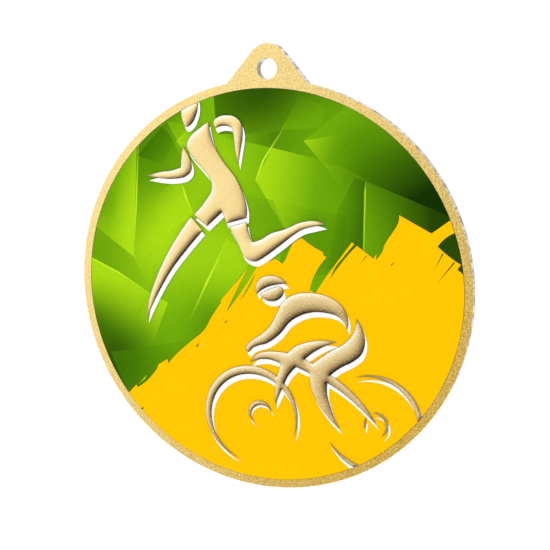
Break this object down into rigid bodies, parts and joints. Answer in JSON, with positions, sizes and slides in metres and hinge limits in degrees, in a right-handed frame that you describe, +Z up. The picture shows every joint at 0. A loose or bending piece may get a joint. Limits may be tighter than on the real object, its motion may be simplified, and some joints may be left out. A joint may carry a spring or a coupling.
{
  "type": "finisher medal",
  "caption": "Round finisher medal with an eyelet lug, gold faces on a steel blank, a green and yellow printed insert, and raised gold runner and cyclist figures on white underlays.",
  "frame": {"origin": "centre of the eyelet's hole, halfway through the blank's thickness", "axes": "+Z up, from the disc towards the eyelet, as the medal hangs; the decorated front faces -Y and the plain back faces +Y; +X is to the right of someone looking at the front"},
  "size_m": [0.07, 0.0025, 0.0758],
  "materials": {
    "steel": "bare cut edge, fine irregular streaks across the thickness",
    "gold_face": "satin gold plating with a fine sparkling grain",
    "emblem_gold": "satin gold, raised and rounded, darkened on the lower right slopes",
    "white_enamel": "smooth opaque white",
    "green_print": "printed facets from near black green to bright lime",
    "yellow_print": "flat even yellow with brush-stroke edges"
  },
  "bodies": {
    "root": {"core_plate": "steel", "front_face": "gold_face", "back_face": "gold_face", "insert_plate": "white_enamel", "green_print": "green_print", "yellow_print": "yellow_print", "cyclist_face": "emblem_gold", "cyclist_face_underlay": "white_enamel", "cyclist_frame": "emblem_gold", "cyclist_frame_underlay": "white_enamel", "cyclist_helmet": "emblem_gold", "cyclist_helmet_underlay": "white_enamel", "cyclist_torso": "emblem_gold", "cyclist_torso_underlay": "white_enamel", "front_hub": "emblem_gold", "front_hub_underlay": "white_enamel", "rear_hub": "emblem_gold", "rear_hub_underlay": "white_enamel", "rear_hub_tail": "emblem_gold", "rear_hub_tail_underlay": "white_enamel", "rear_wheel_lower": "emblem_gold", "rear_wheel_lower_underlay": "white_enamel", "rear_wheel_upper": "emblem_gold", "rear_wheel_upper_underlay": "white_enamel", "runner_body": "emblem_gold", "runner_body_underlay": "white_enamel", "runner_front_leg": "emblem_gold", "runner_front_leg_underlay": "white_enamel", "runner_head": "emblem_gold", "runner_head_underlay": "white_enamel", "runner_leading_arm": "emblem_gold", "runner_leading_arm_underlay": "white_enamel", "runner_rear_leg": "emblem_gold", "runner_rear_leg_underlay": "white_enamel", "runner_trailing_arm": "emblem_gold", "runner_trailing_arm_underlay": "white_enamel"}
  },
  "joints": []
}
